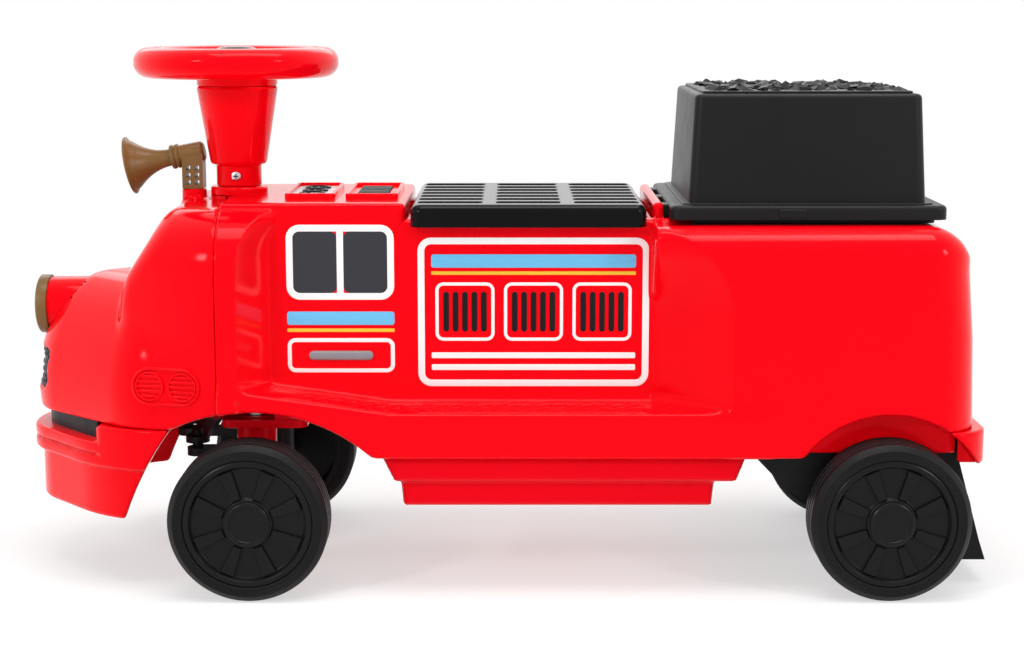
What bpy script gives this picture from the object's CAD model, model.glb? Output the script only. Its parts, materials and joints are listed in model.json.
"""Dresses a packed ride-on train with moulded shells, wheels, trim and a plain stage."""

import json
import math

import bmesh
import bpy
import numpy as np
from mathutils import Matrix, Vector


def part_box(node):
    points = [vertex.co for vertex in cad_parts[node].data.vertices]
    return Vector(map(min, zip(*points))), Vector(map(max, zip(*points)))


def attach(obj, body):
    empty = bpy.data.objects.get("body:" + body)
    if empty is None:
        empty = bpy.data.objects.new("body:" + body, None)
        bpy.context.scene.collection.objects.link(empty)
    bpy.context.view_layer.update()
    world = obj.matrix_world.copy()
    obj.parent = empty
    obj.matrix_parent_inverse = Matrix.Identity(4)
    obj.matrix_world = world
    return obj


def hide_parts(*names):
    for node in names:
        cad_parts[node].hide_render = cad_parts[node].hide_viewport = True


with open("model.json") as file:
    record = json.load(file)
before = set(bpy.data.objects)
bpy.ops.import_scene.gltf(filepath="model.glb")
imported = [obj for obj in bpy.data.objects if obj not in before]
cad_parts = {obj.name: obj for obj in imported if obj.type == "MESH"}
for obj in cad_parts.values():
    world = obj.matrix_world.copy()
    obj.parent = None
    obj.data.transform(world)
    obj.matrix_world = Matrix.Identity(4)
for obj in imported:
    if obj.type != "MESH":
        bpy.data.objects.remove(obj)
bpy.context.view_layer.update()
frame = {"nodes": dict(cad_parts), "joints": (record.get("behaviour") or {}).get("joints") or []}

bl_info = {
    "name": "Ride-on train dressing",
    "version": (1, 0, 0),
    "blender": (4, 5, 0),
    "location": "View3D > Sidebar > Train",
    "description": "Builds the visible pieces of a ride-on train around its packed frame",
    "category": "Object",
}

MM = 0.001
SIDE_NAMES = {1: "left", -1: "right"}
SIDES = tuple(SIDE_NAMES)
CAB_HALF = 80.0


def node_mm(node):
    """Lowest and highest corner of a CAD node, in millimetres."""
    low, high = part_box(node)
    return np.array(low) / MM, np.array(high) / MM


def joint_mm(name):
    """Place of a joint's axis, in millimetres."""
    for joint in frame["joints"]:
        if joint["name"] == name:
            return np.array(joint["pos_m"]) / MM
    raise ValueError(f"no joint named {name}")


# Places that the frame gives, in millimetres
BODY_LOW, BODY_HIGH = node_mm("body_shell")
NOSE_LOW, NOSE_HIGH = node_mm("nose_shell")
BUMPER_LOW, BUMPER_HIGH = node_mm("front_bumper")
PAN_LOW, PAN_HIGH = node_mm("chassis_pan")
SEAT_LOW, SEAT_HIGH = node_mm("seat_lid")
BASE_LOW, BASE_HIGH = node_mm("tender_base")
BOX_LOW, BOX_HIGH = node_mm("tender_box")
COAL_LOW, COAL_HIGH = node_mm("coal_load")
BIN_LOW = node_mm("seat_bin")[0]
TYRE_LOW, TYRE_HIGH = node_mm("tyre_front_left")
GRIP_LOW, GRIP_HIGH = node_mm("steering_wheel")
CONE_LOW, CONE_HIGH = node_mm("steering_cone")
LAMP_LOW, LAMP_HIGH = node_mm("headlamp_tube")
BEZEL_HIGH = node_mm("headlamp_bezel")[1]
FRONT_AXLE = joint_mm("spin_front_left")
REAR_AXLE = joint_mm("spin_rear_left")
COLUMN = joint_mm("steer")
SEAM_X = NOSE_LOW[0]
ROOF_Z = BODY_HIGH[2]
HALF_BODY = BODY_HIGH[1]
HALF_NOSE = NOSE_HIGH[1]
WHEEL_R = (TYRE_HIGH[2] - TYRE_LOW[2]) / 2
ARCH_R = WHEEL_R + 18
SKIRT_Z = BODY_LOW[2]


class TrainSizes(bpy.types.PropertyGroup):
    """Sizes that a user may change without leaving the frame."""

    shell_cell: bpy.props.FloatProperty(
        name="Shell facet", description="Grid step of the moulded shells", default=2.7 * MM, unit="LENGTH")
    fine_cell: bpy.props.FloatProperty(
        name="Fine facet", description="Grid step of small moulded pieces", default=1.5 * MM, unit="LENGTH")
    board_z: bpy.props.FloatProperty(
        name="Running board", description="Height of the running boards", default=138 * MM, unit="LENGTH")
    cab_half: bpy.props.FloatProperty(
        name="Cab half width", description="From the middle to the cab side", default=CAB_HALF * MM,
        unit="LENGTH")
    rear_z: bpy.props.FloatProperty(
        name="Rear deck", description="Height of the deck under the tender", default=273 * MM, unit="LENGTH")
    bonnet_r: bpy.props.FloatProperty(
        name="Bonnet radius", description="Radius of the bonnet's front corners", default=61 * MM,
        unit="LENGTH")
    spokes: bpy.props.IntProperty(name="Spokes", description="Spokes on a rim", default=8, min=6, max=12)
    camera_reach: bpy.props.FloatProperty(
        name="Camera distance", description="From the middle plane to the camera", default=1.5, unit="LENGTH")
    camera_height: bpy.props.FloatProperty(
        name="Camera height", description="Height of the camera", default=0.432, unit="LENGTH")
    camera_pitch: bpy.props.FloatProperty(
        name="Camera pitch", description="How far the camera looks down", default=math.radians(9.4),
        subtype="ANGLE")


class TrainColours(bpy.types.PropertyGroup):
    """Colours of the plastics."""

    red: bpy.props.FloatVectorProperty(
        name="Red", description="Body plastic", subtype="COLOR", size=3, default=(0.82, 0.0008, 0.006))
    chassis: bpy.props.FloatVectorProperty(
        name="Chassis red", description="Chassis plastic", subtype="COLOR", size=3,
        default=(0.74, 0.0008, 0.008))
    black: bpy.props.FloatVectorProperty(
        name="Black", description="Seat and wheel plastic", subtype="COLOR", size=3,
        default=(0.009, 0.009, 0.010))
    bronze: bpy.props.FloatVectorProperty(
        name="Bronze", description="Horn plastic", subtype="COLOR", size=3, default=(0.18, 0.098, 0.026))
    white: bpy.props.FloatVectorProperty(
        name="White", description="White trim", subtype="COLOR", size=3, default=(0.83, 0.83, 0.83))
    blue: bpy.props.FloatVectorProperty(
        name="Blue", description="Light blue trim", subtype="COLOR", size=3, default=(0.13, 0.47, 0.76))
    yellow: bpy.props.FloatVectorProperty(
        name="Yellow", description="Yellow trim", subtype="COLOR", size=3, default=(0.80, 0.50, 0.03))


def sizes():
    """The sizes in use."""
    return bpy.context.scene.train_sizes


def colours():
    """The colours in use."""
    return bpy.context.scene.train_colours


# Materials

RED_GLOSS = (1.0, 0.07, 0.08)
DARK_GLOSS = (0.25, 0.25, 0.25)
SEAT_GLOSS = (0.12, 0.12, 0.12)
PLAIN_GLOSS = (1.0, 1.0, 1.0)


def plastic(name, colour, rough, grain=900.0, grain_depth=0.02, mottle=0.06, shine=0.3, metallic=0.0,
            streaks=0.0, tint=PLAIN_GLOSS):
    """Moulded plastic: slight colour drift, fine grain and uneven gloss; tint colours the facing gloss."""
    if name in bpy.data.materials:
        return bpy.data.materials[name]
    mat = bpy.data.materials.new(name)
    mat.use_nodes = True
    tree = mat.node_tree
    link = tree.links.new
    shader = tree.nodes["Principled BSDF"]
    shader.inputs["Metallic"].default_value = metallic
    shader.inputs["Specular IOR Level"].default_value = 0.5 if metallic else shine
    shader.inputs["Specular Tint"].default_value = (*tint, 1)
    place = tree.nodes.new("ShaderNodeTexCoord")

    def noise(scale, detail):
        node = tree.nodes.new("ShaderNodeTexNoise")
        node.inputs["Scale"].default_value = scale
        node.inputs["Detail"].default_value = detail
        link(place.outputs["Object"], node.inputs["Vector"])
        return node

    drift = noise(7.0, 3.0)
    ramp = tree.nodes.new("ShaderNodeValToRGB")
    dark = [c * (1 - mottle) for c in colour]
    light = [min(1.0, c * (1 + mottle)) for c in colour]
    ramp.color_ramp.elements[0].position = 0.3
    ramp.color_ramp.elements[1].position = 0.7
    ramp.color_ramp.elements[0].color = (*dark, 1)
    ramp.color_ramp.elements[1].color = (*light, 1)
    link(drift.outputs["Fac"], ramp.inputs["Fac"])
    link(ramp.outputs["Color"], shader.inputs["Base Color"])

    gloss = noise(45.0, 4.0)
    span = tree.nodes.new("ShaderNodeMapRange")
    span.inputs["To Min"].default_value = max(0.03, rough * 0.85)
    span.inputs["To Max"].default_value = rough * 1.2
    link(gloss.outputs["Fac"], span.inputs["Value"])
    link(span.outputs["Result"], shader.inputs["Roughness"])

    fine = noise(grain, 2.0)
    if streaks > 0:
        stretch = tree.nodes.new("ShaderNodeMapping")
        stretch.inputs["Scale"].default_value = (1.0, streaks, 1.0)
        link(place.outputs["Object"], stretch.inputs["Vector"])
        link(stretch.outputs["Vector"], fine.inputs["Vector"])
    bump = tree.nodes.new("ShaderNodeBump")
    bump.inputs["Strength"].default_value = grain_depth
    bump.inputs["Distance"].default_value = 0.0006
    link(fine.outputs["Fac"], bump.inputs["Height"])
    link(bump.outputs["Normal"], shader.inputs["Normal"])
    return mat


# Finishes: material, slot, colour (or the name of one and a share of it), roughness, rest of plastic()

FINISHES = {
    "red": ("red_gloss_plastic", "red_plastic", ("red", 1.0), 0.12,
            dict(grain=500, grain_depth=0.006, mottle=0.02, shine=0.5, tint=RED_GLOSS)),
    "chassis": ("chassis_red_plastic", "chassis_red", ("chassis", 1.0), 0.24,
                dict(grain=500, grain_depth=0.02, mottle=0.04, shine=0.5, tint=RED_GLOSS)),
    "seat": ("seat_black_plastic", "black_gloss", ("black", 0.5), 0.14,
             dict(grain=900, grain_depth=0.02, mottle=0.1, shine=0.5, tint=SEAT_GLOSS)),
    "satin": ("satin_black_plastic", "black_satin", ("black", 0.9), 0.42,
              dict(grain=1400, grain_depth=0.08, mottle=0.12, shine=0.5, tint=DARK_GLOSS)),
    "rim": ("rim_black_plastic", "rim_black", ("black", 0.7), 0.28,
            dict(grain=1100, grain_depth=0.04, mottle=0.1, shine=0.5, tint=DARK_GLOSS)),
    "tread": ("tread_black_plastic", "tread", ("black", 0.6), 0.46,
              dict(grain=1600, grain_depth=0.12, mottle=0.16, shine=0.5, tint=DARK_GLOSS)),
    "bronze": ("bronze_horn_plastic", "bronze_plastic", ("bronze", 1.0), 0.34,
               dict(grain=700, grain_depth=0.05, mottle=0.18)),
    "white": ("white_trim_plastic", "white_plastic", ("white", 1.0), 0.3, dict(mottle=0.02)),
    "blue": ("blue_trim_plastic", "white_plastic", ("blue", 1.0), 0.3, dict(mottle=0.04)),
    "yellow": ("yellow_trim_plastic", "white_plastic", ("yellow", 1.0), 0.3, dict(mottle=0.05)),
    "grey": ("grey_panel_plastic", "grey_plastic", (0.23, 0.24, 0.26), 0.36,
             dict(grain=1200, grain_depth=0.08, mottle=0.08)),
    "light": ("light_panel_plastic", "grey_plastic", (0.52, 0.52, 0.53), 0.34,
              dict(grain=1200, grain_depth=0.06, mottle=0.05)),
    "pane": ("dark_pane_plastic", "glazing", (0.012, 0.013, 0.02), 0.1,
             dict(grain=300, grain_depth=0.006, shine=0.5)),
    "lens": ("clear_lens_plastic", "clear_lens", (0.93, 0.93, 0.90), 0.08, dict(mottle=0.02)),
    "steel": ("plated_steel", "steel", (0.58, 0.58, 0.60), 0.3,
              dict(grain=600, grain_depth=0.05, metallic=1.0, streaks=8.0)),
    "dark_metal": ("blackened_steel", "steel", (0.03, 0.03, 0.032), 0.42,
                   dict(grain=600, grain_depth=0.06, metallic=1.0)),
    "mirror": ("lamp_reflector_metal", "reflector", (0.83, 0.83, 0.84), 0.08,
               dict(grain=300, grain_depth=0.01, metallic=1.0)),
}


def finish(key):
    """Material of a finish."""
    name, _, colour, rough, rest = FINISHES[key]
    if name in bpy.data.materials:
        return bpy.data.materials[name]
    if isinstance(colour[0], str):
        chosen, share = colour
        colour = [c * share for c in getattr(colours(), chosen)]
    mat = plastic(name, colour, rough, **rest)
    if key == "lens":
        flute(mat)
    return mat


def flute(mat):
    """Makes a plastic clear, with fine moulded flutes."""
    tree = mat.node_tree
    shader = tree.nodes["Principled BSDF"]
    shader.inputs["Transmission Weight"].default_value = 0.9
    shader.inputs["IOR"].default_value = 1.46
    wave = tree.nodes.new("ShaderNodeTexWave")
    wave.inputs["Scale"].default_value = 60.0
    bump = tree.nodes["Bump"]
    bump.inputs["Strength"].default_value = 0.25
    place = tree.nodes["Texture Coordinate"]
    tree.links.new(place.outputs["Object"], wave.inputs["Vector"])
    tree.links.new(wave.outputs["Fac"], bump.inputs["Height"])


# Pieces

def add_piece(name, mesh, key, *replaced, body="root", slot=None):
    """Puts a finished mesh in the scene and tells the frame what it is."""
    obj = bpy.data.objects.new(name, mesh)
    bpy.context.scene.collection.objects.link(obj)
    mesh.materials.clear()
    mesh.materials.append(finish(key))
    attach(obj, body)
    if replaced:
        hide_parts(*replaced)
    return obj


def add_shape(name, shape, key, *replaced, place=Matrix(), sharp=40.0, **choices):
    """Puts a shape in the scene as a piece."""
    return add_piece(name, shape_mesh(name, placed(shape, place), sharp), key, *replaced, **choices)


def add_mould(name, field, node, key, cell, body="root"):
    """Moulds a form in the box of the CAD node that it replaces."""
    low, high = node_mm(node)
    return add_piece(name, mould(name, field, low, high, cell), key, node, body=body)


def mesh_from(name, verts, faces):
    """A mesh from millimetre points."""
    mesh = bpy.data.meshes.new(name)
    mesh.from_pydata([tuple(v) for v in np.asarray(verts, float) * MM], [], [tuple(f) for f in faces])
    mesh.polygons.foreach_set("use_smooth", [True] * len(mesh.polygons))
    mesh.update()
    return mesh


# Moulded forms are signed distances in millimetres, negative inside

def round_box(x, y, z, low, high, r):
    """Box between two corners with edges of radius r."""
    qx = np.abs(x - (low[0] + high[0]) / 2) - (high[0] - low[0]) / 2 + r
    qy = np.abs(y - (low[1] + high[1]) / 2) - (high[1] - low[1]) / 2 + r
    qz = np.abs(z - (low[2] + high[2]) / 2) - (high[2] - low[2]) / 2 + r
    outside = np.sqrt(np.maximum(qx, 0) ** 2 + np.maximum(qy, 0) ** 2 + np.maximum(qz, 0) ** 2)
    return outside + np.minimum(np.maximum(qx, np.maximum(qy, qz)), 0) - r


def round_rect(u, v, half_u, v0, v1, r):
    """Rectangle, centred in u, with corners of radius r."""
    qu = np.abs(u) - half_u + r
    qv = np.abs(v - (v0 + v1) / 2) - (v1 - v0) / 2 + r
    return np.sqrt(np.maximum(qu, 0) ** 2 + np.maximum(qv, 0) ** 2) + np.minimum(np.maximum(qu, qv), 0) - r


def join(a, b, k):
    """Union with a fillet of about k."""
    h = np.clip(0.5 + 0.5 * (b - a) / k, 0, 1)
    return b * (1 - h) + a * h - k * h * (1 - h)


def meet(a, b, k):
    """Intersection with an edge rounded by about k."""
    return -join(-a, -b, k)


def cut(a, b, k):
    """Form a without form b, with a rounded edge."""
    return meet(a, -b, k)

def bend(a, b, r):
    """Intersection of two half spaces with a round edge of radius r."""
    outside = np.sqrt(np.maximum(a + r, 0) ** 2 + np.maximum(b + r, 0) ** 2)
    return outside + np.minimum(np.maximum(a, b) + r, 0) - r


def convex(u, v, points):
    """Distance to a convex outline whose points run anticlockwise."""
    worst = None
    for (u0, v0), (u1, v1) in zip(points, points[1:] + points[:1]):
        run = math.hypot(u1 - u0, v1 - v0)
        side = ((v1 - v0) * (u - u0) - (u1 - u0) * (v - v0)) / run
        worst = side if worst is None else np.maximum(worst, side)
    return worst


CORNERS = [(i, j, k) for i in (0, 1) for j in (0, 1) for k in (0, 1)]
EDGES = [(a, b) for a in CORNERS for b in CORNERS
         if sum(b) - sum(a) == 1 and all(p <= q for p, q in zip(a, b))]


def slopes(field, points, step=0.4):
    """Gradient of a form at some points."""
    grads = []
    for axis in range(3):
        move = np.zeros(3)
        move[axis] = step
        ahead = field(*(points + move).T)
        behind = field(*(points - move).T)
        grads.append((ahead - behind) / (2 * step))
    return np.stack(grads, 1)


def mould(name, field, low, high, cell):
    """Meshes a form: one point in each cell that the surface crosses, pulled on to the surface."""
    axes = [np.arange(a - 1.5 * cell, b + 2.5 * cell, cell) for a, b in zip(low, high)]
    value = field(*np.meshgrid(*axes, indexing="ij"))
    inside = value < 0
    n = np.array(inside.shape) - 1
    part = {c: tuple(slice(c[a], n[a] + c[a]) for a in range(3)) for c in CORNERS}
    count = sum(inside[part[c]].astype(np.int8) for c in CORNERS)
    active = (count > 0) & (count < 8)
    index = np.full(n, -1, np.int64)
    index[active] = np.arange(int(active.sum()))
    total = np.zeros((int(active.sum()), 3))
    hits = np.zeros(int(active.sum()))
    for a, b in EDGES:
        va, vb = value[part[a]][active], value[part[b]][active]
        crossed = (va < 0) != (vb < 0)
        t = np.where(crossed, va / np.where(crossed, va - vb, 1), 0)
        total += np.where(crossed[:, None], np.array(a) + t[:, None] * (np.array(b) - np.array(a)), 0)
        hits += crossed
    origin = np.array([ax[0] for ax in axes])
    points = origin + cell * (np.argwhere(active) + total / hits[:, None])
    for _ in range(4):
        g = slopes(field, points)
        size = np.maximum((g * g).sum(1), 0.05)
        shift = (field(*points.T) / size)[:, None] * g
        points = points - np.clip(shift, -0.6 * cell, 0.6 * cell)
    faces = []
    for axis in range(3):
        one, two = [a for a in range(3) if a != axis]
        here = [slice(None)] * 3
        there = [slice(None)] * 3
        here[axis], there[axis] = slice(0, -1), slice(1, None)
        for a in (one, two):
            here[a] = there[a] = slice(1, -1)
        enters = inside[tuple(there)] & ~inside[tuple(here)]
        leaves = inside[tuple(here)] & ~inside[tuple(there)]
        for mask, flip in ((leaves, axis == 1), (enters, axis != 1)):
            spots = np.argwhere(mask)
            for a in (one, two):
                spots[:, a] += 1
            ring = []
            for da, db in ((-1, -1), (0, -1), (0, 0), (-1, 0)):
                cellpos = spots.copy()
                cellpos[:, one] += da
                cellpos[:, two] += db
                ring.append(index[tuple(cellpos.T)])
            quad = np.stack(ring[::-1] if flip else ring, 1)
            faces.append(quad)
    mesh = mesh_from(name, points, np.concatenate(faces).tolist())
    g = slopes(field, points, 0.25)
    normals = g / np.maximum(np.linalg.norm(g, axis=1), 1e-6)[:, None]
    mesh.normals_split_custom_set_from_vertices([tuple(v) for v in normals])
    return mesh


# Turned, lofted and repeated forms

def arc_corners(points, steps=5):
    """Rounds an open line of (u, v, radius) corners."""
    out = []
    last = len(points) - 1
    for i, (u, v, r) in enumerate(points):
        if r <= 0 or i in (0, last):
            out.append((u, v))
            continue
        here = np.array((u, v), float)
        back = np.array(points[i - 1][:2], float) - here
        on = np.array(points[i + 1][:2], float) - here
        len_back, len_on = np.linalg.norm(back), np.linalg.norm(on)
        back, on = back / len_back, on / len_on
        half = math.acos(float(np.clip(back @ on, -1, 1))) / 2
        reach = min(r / math.tan(half), 0.49 * len_back, 0.49 * len_on)
        radius = reach * math.tan(half)
        middle = here + (back + on) / np.linalg.norm(back + on) * radius / math.sin(half)
        start, end = here + back * reach - middle, here + on * reach - middle
        a0 = math.atan2(start[1], start[0])
        turn = (math.atan2(end[1], end[0]) - a0 + math.pi) % (2 * math.pi) - math.pi
        for s in range(steps + 1):
            a = a0 + turn * s / steps
            out.append(tuple(middle + radius * np.array((math.cos(a), math.sin(a)))))
    return out


def loft(loops, closed=False, caps=True):
    """Points and faces of a skin over loops of equal length; closed joins the last to the first."""
    n = len(loops[0])
    verts = [p for loop in loops for p in loop]
    faces = []
    count = len(loops)
    for i in range(count if closed else count - 1):
        a, b = i * n, (i + 1) % count * n
        for j in range(n):
            k = (j + 1) % n
            faces.append((a + j, a + k, b + k, b + j))
    if caps and not closed:
        faces.append(tuple(range(n - 1, -1, -1)))
        faces.append(tuple(range((count - 1) * n, count * n)))
    return verts, faces


def turn(profile, segments=64):
    """Turns a line of (radius, height) points about Z; a closed line makes a ring."""
    ring = profile[0] == profile[-1]
    line = profile[:-1] if ring else profile
    angles = [2 * math.pi * s / segments for s in range(segments)]
    loops = [[(r * math.cos(a), r * math.sin(a), z) for a in angles] for r, z in line]
    return loft(loops, closed=ring, caps=not ring)

def lathe(corners, segments=72, steps=5):
    """Turns a line of (radius, height, corner radius) about Z."""
    return turn(arc_corners(corners, steps), segments)


def rect_loop(half_u, half_v, r, z, steps=6):
    """Rounded rectangle at height z, anticlockwise."""
    r = max(0.01, min(r, half_u, half_v))
    loop = []
    for quarter in range(4):
        su = 1 if quarter in (0, 3) else -1
        sv = 1 if quarter in (0, 1) else -1
        for s in range(steps + 1):
            a = math.pi / 2 * (quarter + s / steps)
            loop.append((su * (half_u - r) + r * math.cos(a), sv * (half_v - r) + r * math.sin(a), z))
    return loop


QUARTER = [math.pi / 2 * s / 4 for s in range(5)]


def slab(half_u, half_v, r, z0, z1, edge, draft=0.0):
    """Plate with rounded corners and a rounded upper edge; draft narrows it upwards."""
    loops = [rect_loop(half_u, half_v, r, z0)]
    for a in QUARTER:
        inset = edge * (1 - math.cos(a)) + draft
        z = z1 - edge + edge * math.sin(a)
        loops.append(rect_loop(half_u - inset, half_v - inset, r - inset + draft, z))
    return loft(loops)


def rim_slab(half_u, half_v, r, width, z0, z1, edge):
    """Rounded frame of a given width with rounded upper edges."""
    rise = [(edge * (1 - math.cos(a)), z1 - edge + edge * math.sin(a)) for a in QUARTER]
    fall = [(width - edge + edge * math.sin(a), z1 - edge + edge * math.cos(a)) for a in QUARTER]
    line = [(0, z0)] + rise + fall + [(width, z0)]
    return loft([rect_loop(half_u - inset, half_v - inset, r - inset, z) for inset, z in line], closed=True)


def extrude(outline, low, high, edge=1.0):
    """Convex outline (anticlockwise) from low to high with both edges bevelled."""
    points = np.array(outline, float)
    middle = points.mean(0)

    def shrunk(d, z):
        away = points - middle
        size = np.linalg.norm(away, axis=1)[:, None]
        return [(u, v, z) for u, v in middle + away * (1 - d / size)]

    return loft([shrunk(edge, low), shrunk(0, low + edge), shrunk(0, high - edge), shrunk(edge, high)])


def placed(shape, matrix):
    """A shape moved by a 4 by 4 matrix in millimetres."""
    verts, faces = shape
    points = np.asarray(verts, float)
    m = np.array(matrix)
    moved = points @ m[:3, :3].T + m[:3, 3]
    if np.linalg.det(m[:3, :3]) < 0:
        faces = [tuple(reversed(f)) for f in faces]
    return moved.tolist(), faces


def together(*shapes):
    """Several shapes as one list of points and faces."""
    verts, faces = [], []
    for points, polys in shapes:
        start = len(verts)
        verts.extend(points)
        faces.extend(tuple(i + start for i in poly) for poly in polys)
    return verts, faces


def shape_mesh(name, shape, sharp=40.0):
    """A smooth mesh of a shape, with creases kept sharp."""
    mesh = mesh_from(name, *shape)
    mesh.set_sharp_from_angle(angle=math.radians(sharp))
    return mesh


def at(x, y, z):
    """A move in millimetres."""
    return Matrix.Translation((x, y, z))


def turned(angle, axis):
    """A turn about an axis."""
    return Matrix.Rotation(angle, 4, axis)


SIDE_FRAME = {
    1: Matrix(((-1, 0, 0, 0), (0, 0, 1, 0), (0, 1, 0, 0), (0, 0, 0, 1))),
    -1: Matrix(((1, 0, 0, 0), (0, 0, -1, 0), (0, 1, 0, 0), (0, 0, 0, 1))),
}
FRONT_FRAME = Matrix(((0, 0, 1, 0), (1, 0, 0, 0), (0, 1, 0, 0), (0, 0, 0, 1)))


def on_side(side, x, y, z):
    """Frame on a side of the train: second axis up, third axis out."""
    return at(x, side * y, z) @ SIDE_FRAME[side]


def repeat_tree():
    """Node group that repeats the mesh it is given, each copy moved and turned on from the last."""
    name = "Repeat piece"
    if name in bpy.data.node_groups:
        return bpy.data.node_groups[name]
    tree = bpy.data.node_groups.new(name, "GeometryNodeTree")
    for label, kind in (("Geometry", "Geometry"), ("Count", "Int"), ("Step", "Vector"), ("Turn", "Vector"),
                        ("Material", "Material")):
        tree.interface.new_socket(label, in_out="INPUT", socket_type=f"NodeSocket{kind}")
    tree.interface.new_socket("Geometry", in_out="OUTPUT", socket_type="NodeSocketGeometry")
    node = tree.nodes.new
    given = node("NodeGroupInput")
    line = node("GeometryNodeMeshLine")
    copies = node("GeometryNodeInstanceOnPoints")
    index = node("GeometryNodeInputIndex")
    angle = node("ShaderNodeVectorMath")
    angle.operation = "SCALE"
    euler = node("FunctionNodeEulerToRotation")
    rotate = node("GeometryNodeRotateInstances")
    rotate.inputs["Local Space"].default_value = False
    real = node("GeometryNodeRealizeInstances")
    paint = node("GeometryNodeSetMaterial")
    result = node("NodeGroupOutput")
    wires = (
        (given, "Count", line, "Count"),
        (given, "Step", line, "Offset"),
        (line, "Mesh", copies, "Points"),
        (given, "Geometry", copies, "Instance"),
        (given, "Turn", angle, 0),
        (index, "Index", angle, "Scale"),
        (angle, "Vector", euler, "Euler"),
        (copies, "Instances", rotate, "Instances"),
        (euler, "Rotation", rotate, "Rotation"),
        (rotate, "Instances", real, "Geometry"),
        (real, "Geometry", paint, "Geometry"),
        (given, "Material", paint, "Material"),
        (paint, "Geometry", result, "Geometry"),
    )
    for giver, give, taker, take in wires:
        tree.links.new(giver.outputs[give], taker.inputs[take])
    return tree


def repeated(name, shape, key, count, step=(0, 0, 0), turning=(0, 0, 0)):
    """Mesh of a repeated shape, made by Geometry Nodes and then kept as a plain mesh."""
    source = bpy.data.objects.new(name + "_source", shape_mesh(name + "_one", shape))
    bpy.context.scene.collection.objects.link(source)
    modifier = source.modifiers.new("Repeat", "NODES")
    tree = repeat_tree()
    modifier.node_group = tree
    values = {"Count": count, "Step": tuple(s * MM for s in step), "Turn": turning, "Material": finish(key)}
    for item in tree.interface.items_tree:
        if item.item_type == "SOCKET" and item.in_out == "INPUT" and item.name in values:
            modifier[item.identifier] = values[item.name]
    source.update_tag()
    bpy.context.view_layer.update()
    mesh = bpy.data.meshes.new_from_object(source.evaluated_get(bpy.context.evaluated_depsgraph_get()))
    mesh.name = name
    bpy.data.objects.remove(source)
    return mesh


def merged(name, *meshes):
    """One mesh out of several."""
    work = bmesh.new()
    for mesh in meshes:
        work.from_mesh(mesh)
    mesh = bpy.data.meshes.new(name)
    work.to_mesh(mesh)
    work.free()
    mesh.polygons.foreach_set("use_smooth", [True] * len(mesh.polygons))
    mesh.set_sharp_from_angle(angle=math.radians(40))
    return mesh

def moved(mesh, place):
    """A finished mesh, taken to a place in millimetres."""
    mesh.transform(Matrix.LocRotScale(place.translation * MM, place.to_quaternion(), None))
    return mesh



# The body's form

SHELL = 7.0
WALL_EDGE = 1.5
ARCH_EDGE = 3.0
SKIRT_EDGE = 2.5
SEAM_EDGE = 1.2
HOLE_EDGE = 1.0
CAB_BACK_X = SEAT_LOW[0] - 5
CAB_R = 4.0
BOX_TOP_Z = ROOF_Z - 12
BOX_R = 5.0
LIP_W = 8.0
LIP_IN = 4.0
RECESS_TOP_Z = 290.0
RECESS_FRONT_X = 191.5
RECESS_EDGE_R = 45.0
RECESS_SLOPE = 1.9
RING_R = 46.0
RING_LAP = 26.0
COWL_Z = ROOF_Z - 4
BOARD_STEP = HALF_BODY - CAB_HALF
BOARD_EDGE_R = 5.0
BOARD_TUCK = 90.0
BOARD_FOOT_X = 80.0
BOARD_HEAD_X = SEAM_X - 14
BOARD_RISE = 16.0
REAR_R = 65.0
REAR_LEAD = 8.0
REAR_SLOPE = 0.72
REAR_TOP_R = 24.0
REAR_CORNER_R = 34.0
TAIL_LEAN_Z = (59, 190, 239)
TAIL_LEAN_X = (BODY_LOW[0], BODY_LOW[0] + 4, BODY_LOW[0] + 8)
TAIL_LOW, TAIL_HIGH = node_mm("tail_bumper")
TAIL_BAR_W = 16.0
TAIL_BAR_GAP = 2.0
WELL_Y = PAN_HIGH[1] - 14.0
WELL_WALL = 5.0
COLUMN_BOSS_R = 22.0
COLUMN_HOLE_R = 19.0
COLUMN_HOLE_Z = 250.0
POCKET_FRONT_X = 53.5
POCKET_HALF = 66.5
POCKET_Z = 240.0


def front_ring(x, z):
    """Wide round opening over a front wheel, shared by body and nose, seen from the side."""
    back, drop, rise = 2.5, 51.5, 2.0
    return np.hypot(x - FRONT_AXLE[0] + back, z - FRONT_AXLE[2] + drop) - ARCH_R - drop - rise


def bumper_ring(x, z):
    """Wide round edge of the bumper in front of the wheel."""
    back, drop, radius = 163.0, 100.0, 276.0
    return np.hypot(x - FRONT_AXLE[0] + back, z - FRONT_AXLE[2] + drop) - radius


def rear_well(x, y, z):
    """Round well of a rear wheel."""
    arch = np.hypot(x - REAR_AXLE[0], z - REAR_AXLE[2]) - ARCH_R
    return np.maximum(arch, WELL_Y - np.abs(y))


def board_top(x):
    """Height of a running board, which rises towards the hoop in front of the cab."""
    rise = np.clip((x - BOARD_FOOT_X) / (BOARD_HEAD_X - BOARD_FOOT_X), 0, 1)
    return sizes().board_z / MM + BOARD_RISE * rise


def tail_plan(x, y):
    """Plan of the tail bar's outer face."""
    reach, corner_r = 120, 30
    return round_rect(y, x, TAIL_HIGH[1], TAIL_LOW[0], TAIL_LOW[0] + reach, corner_r)


def inset_slope(outward, steep, deepest):
    """Depth of a slanting wall, and how much steeper than a flat face the form is there."""
    depth = np.clip(steep * outward, 0, deepest)
    on_wall = (depth > 0) & (depth < deepest)
    return depth, np.where(on_wall, math.hypot(1, steep), 1.0)


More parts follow.
